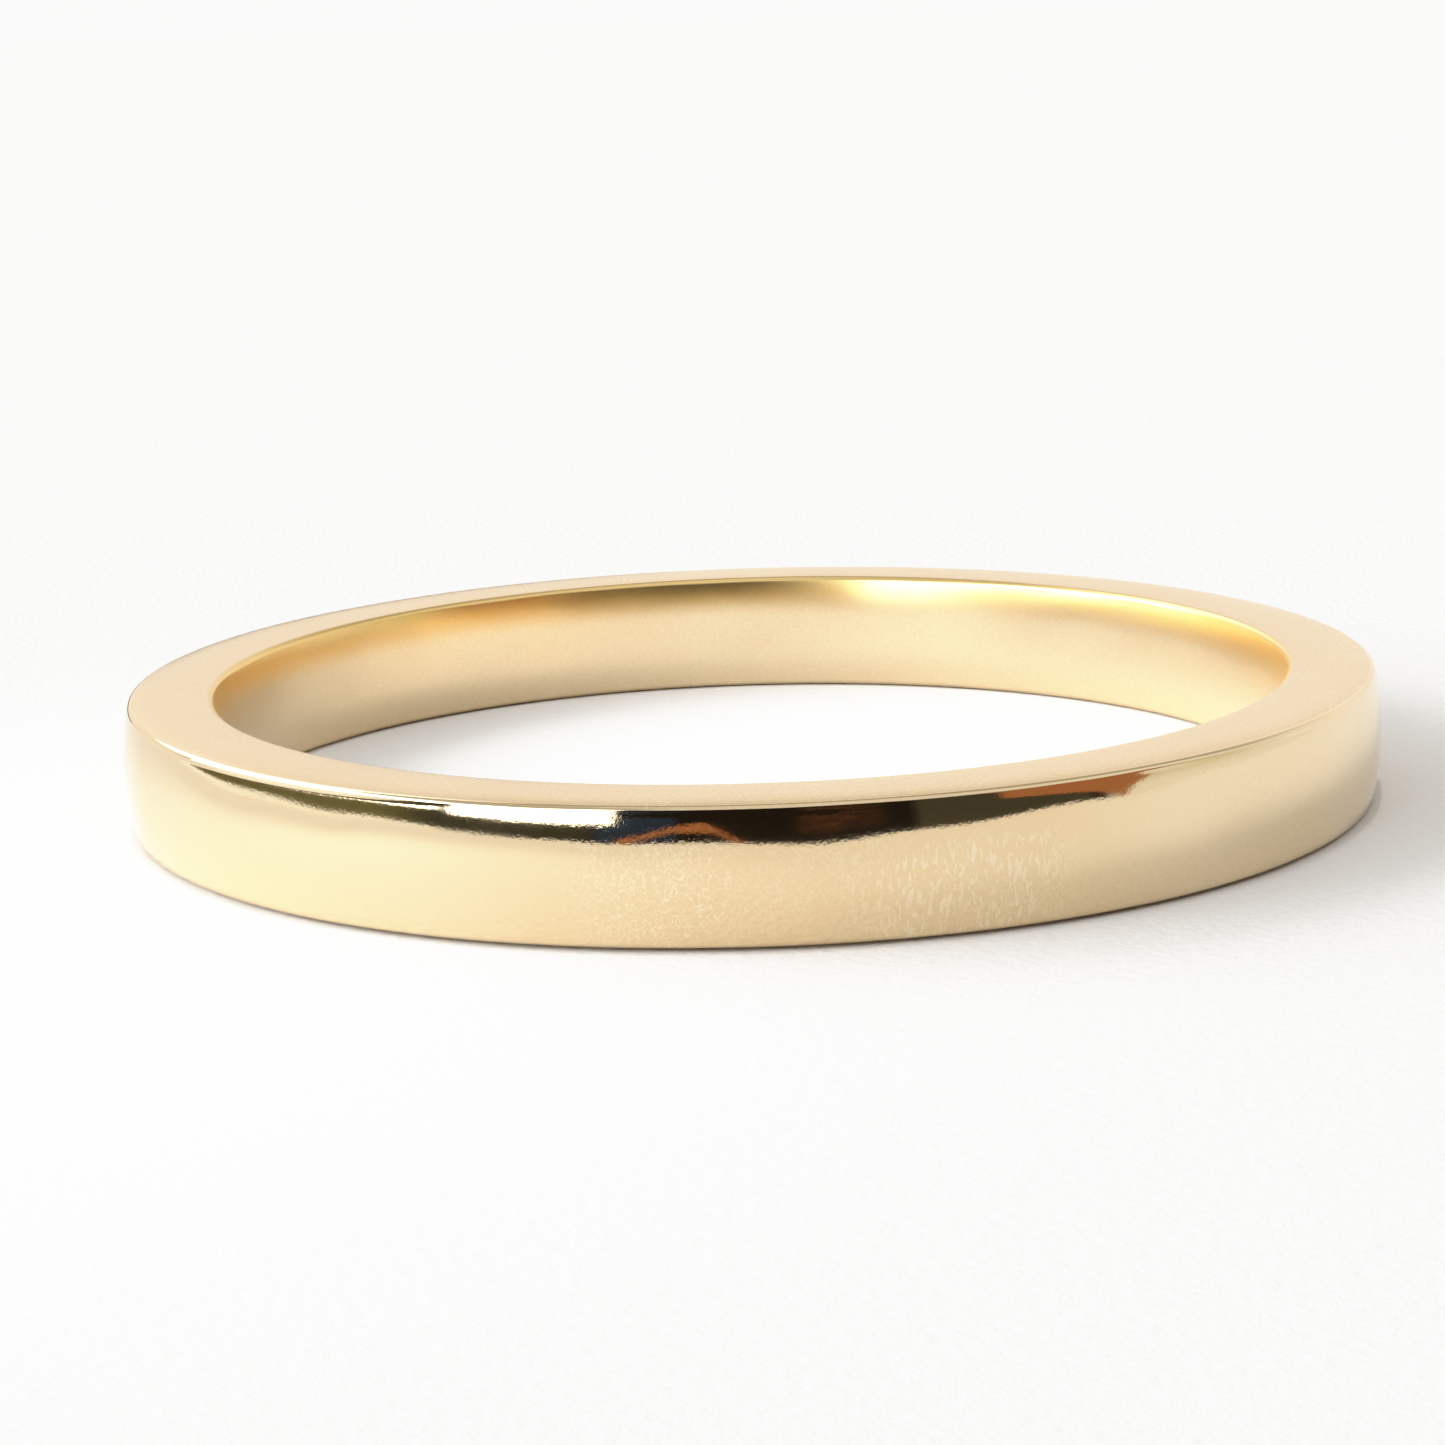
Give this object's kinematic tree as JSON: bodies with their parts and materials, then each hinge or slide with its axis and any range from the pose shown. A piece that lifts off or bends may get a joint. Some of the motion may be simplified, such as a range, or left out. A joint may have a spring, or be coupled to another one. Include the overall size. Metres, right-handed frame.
{
  "type": "wedding band",
  "caption": "Plain narrow finger ring of polished yellow gold, with a low domed outside, flat sides and a comfort-fit bore.",
  "frame": {"origin": "centre of the finger hole, on the plane of the side face that the band lies on", "axes": "+Z along the ring's axis, from the lower side face to the upper one; the band is round, so X and Y are alike"},
  "size_m": [0.0194, 0.0194, 0.002],
  "materials": {
    "yellow_gold": "polished"
  },
  "bodies": {
    "root": {"band": "yellow_gold"}
  },
  "joints": []
}
